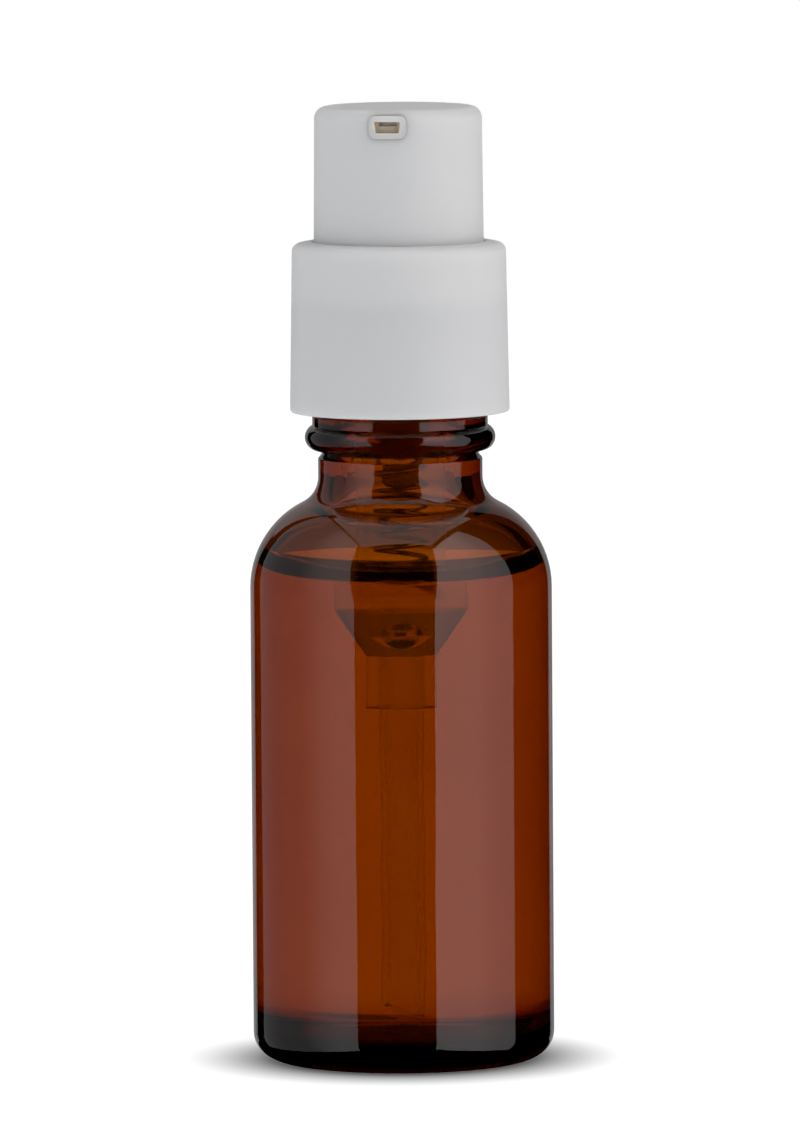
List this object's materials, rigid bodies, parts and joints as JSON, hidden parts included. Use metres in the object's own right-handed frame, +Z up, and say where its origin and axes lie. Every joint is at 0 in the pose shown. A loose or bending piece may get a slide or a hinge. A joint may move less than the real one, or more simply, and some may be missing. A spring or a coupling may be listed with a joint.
{
  "type": "pump oil bottle",
  "caption": "Round amber glass bottle of oil with a white press-down treatment pump, smooth screw collar and side nozzle.",
  "frame": {"origin": "middle of the ring that the bottle stands on", "axes": "+Z up along the bottle's axis, nozzle towards -Y, +X to the right seen from the nozzle side"},
  "size_m": [0.0324, 0.0324, 0.1029],
  "materials": {
    "amber_glass": "clear amber glass, glossy",
    "oil": "clear golden oil",
    "gasket_foam": "fine foam, matte",
    "natural_plastic": "unpigmented polypropylene, satin",
    "tube_plastic": "translucent polyethylene, satin",
    "ball_steel": "polished stainless steel",
    "spring_steel": "drawn stainless wire",
    "white_plastic": "white polypropylene, satin gloss",
    "piston_plastic": "soft polyethylene, satin",
    "nozzle_plastic": "white polypropylene, satin gloss"
  },
  "bodies": {
    "bottle": {"glass_bottle": "amber_glass", "oil_fill": "oil"},
    "pump_engine": {"pump_housing": "natural_plastic", "stem_retainer": "natural_plastic", "bottle_gasket": "gasket_foam", "dip_tube": "tube_plastic", "return_spring": "spring_steel"},
    "closure": {"threaded_closure": "white_plastic", "collar_shell": "white_plastic"},
    "plunger": {"stem": "white_plastic", "piston_rod": "natural_plastic"},
    "piston": {"piston": "piston_plastic"},
    "actuator": {"actuator_shell": "white_plastic", "nozzle_core": "nozzle_plastic"},
    "inlet_valve": {"check_ball": "ball_steel"}
  },
  "joints": [
    {"name": "pump_lift", "type": "slide", "parent": "bottle", "child": "pump_engine", "axis": [0, 0, 1], "range_m": [0, 0.00397]},
    {"name": "closure_turn", "type": "hinge", "parent": "pump_engine", "child": "closure", "pos_m": [0, 0, 0.0785], "axis": [0, 0, 1], "range_deg": [0, 450]},
    {"name": "pump_stroke", "type": "slide", "parent": "pump_engine", "child": "plunger", "axis": [0, 0, 1], "range_m": [-0.0045, 0], "stiffness_N_per_m": 300, "springref_m": 0.003, "deforming": ["return_spring"]},
    {"name": "actuator_swivel", "type": "hinge", "parent": "plunger", "child": "actuator", "pos_m": [0, 0, 0.097], "axis": [0, 0, 1], "continuous": true},
    {"name": "piston_slip", "type": "slide", "parent": "plunger", "child": "piston", "axis": [0, 0, 1], "range_m": [0, 0.0006]},
    {"name": "ball_lift", "type": "slide", "parent": "pump_engine", "child": "inlet_valve", "axis": [0, 0, 1], "range_m": [0, 0.0008]}
  ],
  "couplings": [
    {"joint": "closure_turn", "follows": "pump_lift", "rad_per_m": 1979},
    {"joint": "piston_slip", "follows": "pump_stroke", "ratio": -0.13333}
  ]
}
